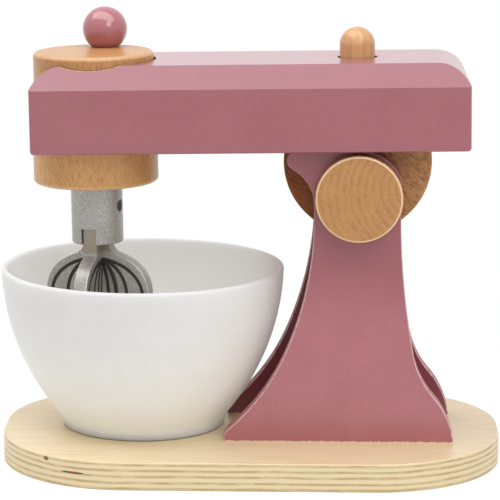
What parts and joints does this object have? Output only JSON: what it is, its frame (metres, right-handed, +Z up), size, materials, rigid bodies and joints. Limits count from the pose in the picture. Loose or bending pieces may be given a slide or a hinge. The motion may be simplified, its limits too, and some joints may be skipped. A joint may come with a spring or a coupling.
{
  "type": "toy stand mixer",
  "caption": "Toy wooden stand mixer: tilting arm on a round-capped hinge between two column panels, hand crank that turns a whisk, press button and lift-off bowl.",
  "frame": {"origin": "centre of the base board's underside", "axes": "+X along the base from the bowl to the column, +Y to the back, +Z up"},
  "size_m": [0.2868, 0.1718, 0.2565],
  "materials": {
    "base_wood": "pale laminated wood, clear matt lacquer",
    "pink_paint": "dusty pink satin paint on wood",
    "beech": "sanded beech, thin clear lacquer",
    "silver_paint": "grey metallic paint on wood",
    "white_bowl": "matt white",
    "screw_steel": "dark zinc",
    "spring_steel": "drawn wire"
  },
  "bodies": {
    "stand": {"base_board": "base_wood", "front_panel": "pink_paint", "rear_panel": "pink_paint", "panel_screws": "screw_steel"},
    "head": {"arm_beam": "pink_paint", "knuckle_block": "beech", "knuckle_dowels": "beech", "hinge_axle": "beech", "front_hinge_cap": "beech", "rear_hinge_cap": "beech", "button_spring": "spring_steel"},
    "button": {"button_peg": "beech"},
    "crank": {"crank_disc": "beech", "crank_knob": "pink_paint", "knob_dowel": "beech", "crank_spindle": "beech", "chuck_disc": "beech", "whisk_socket": "silver_paint", "socket_screw": "screw_steel"},
    "whisk": {"whisk_plate_a": "silver_paint", "whisk_plate_b": "silver_paint"},
    "bowl": {"bowl": "white_bowl"}
  },
  "joints": [
    {"name": "head_tilt", "type": "hinge", "parent": "stand", "child": "head", "pos_m": [0.0605, 0, 0.1575], "axis": [0, 1, 0], "range_deg": [0, 85]},
    {"name": "crank_turn", "type": "hinge", "parent": "head", "child": "crank", "pos_m": [-0.08991, 0, 0.22312], "axis": [-0.0152, 0, 0.9999], "continuous": true},
    {"name": "whisk_pull", "type": "slide", "parent": "crank", "child": "whisk", "axis": [0.0152, 0, -0.9999], "range_m": [0, 0.01]},
    {"name": "button_press", "type": "slide", "parent": "head", "child": "button", "axis": [0.0152, 0, -0.9999], "range_m": [0, 0.007], "stiffness_N_per_m": 350, "springref_m": -0.002, "deforming": ["button_spring"]},
    {"name": "bowl_lift", "type": "slide", "parent": "stand", "child": "bowl", "axis": [0, 0, 1], "range_m": [0, 0.015]}
  ]
}
